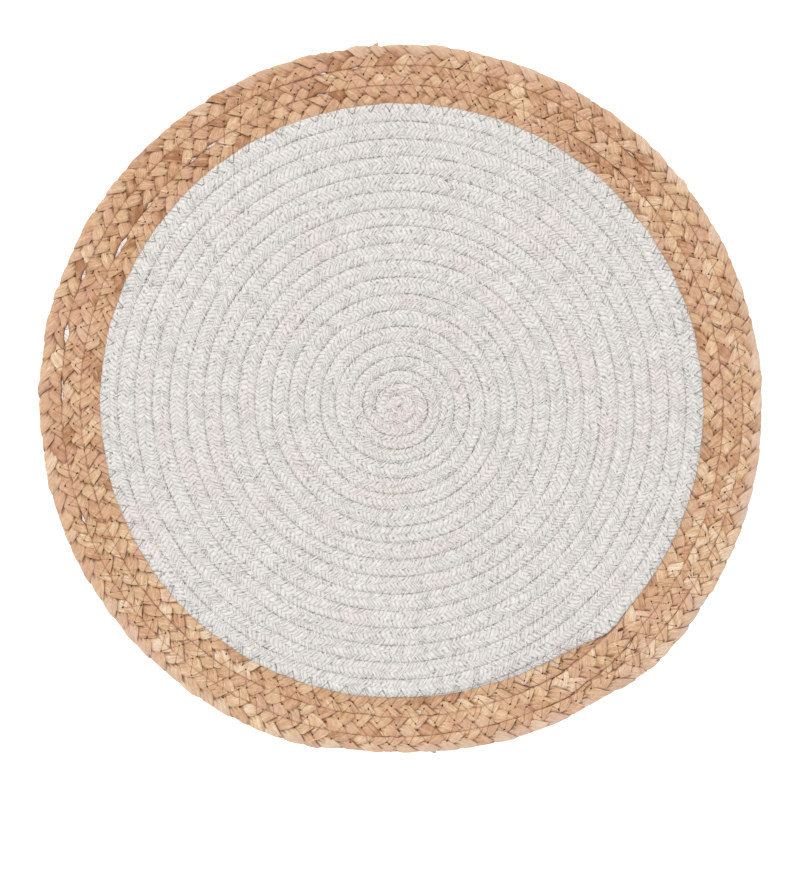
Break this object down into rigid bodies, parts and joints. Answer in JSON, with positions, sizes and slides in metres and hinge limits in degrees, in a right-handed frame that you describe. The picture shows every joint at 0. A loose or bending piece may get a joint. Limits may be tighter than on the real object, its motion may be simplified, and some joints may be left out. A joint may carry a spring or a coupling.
{
  "type": "round coiled rope placemat with a straw plait border",
  "caption": "Flat round table mat: a coiled braided cotton rope middle with a sewn plaited straw border, protects a table under a plate.",
  "frame": {"origin": "middle of the mat's box, on the plane it lies on", "axes": "+Z up out of the face that shows, the mat's thickness. +Y is up in the picture and +X is right"},
  "size_m": [0.3798, 0.3712, 0.006],
  "materials": {
    "cotton_rope": "off-white braided cotton rope, matt, with fine slanting yarns",
    "straw": "dried plant leaf, tan with cream and brown strands, dull sheen along the grain",
    "cotton_thread": "fine pale sewing thread in a zigzag along the cotton seams",
    "straw_thread": "fine tan sewing thread in a zigzag along the straw seams"
  },
  "bodies": {
    "root": {"cotton_coil": "cotton_rope", "plait_border": "straw"}
  },
  "joints": []
}
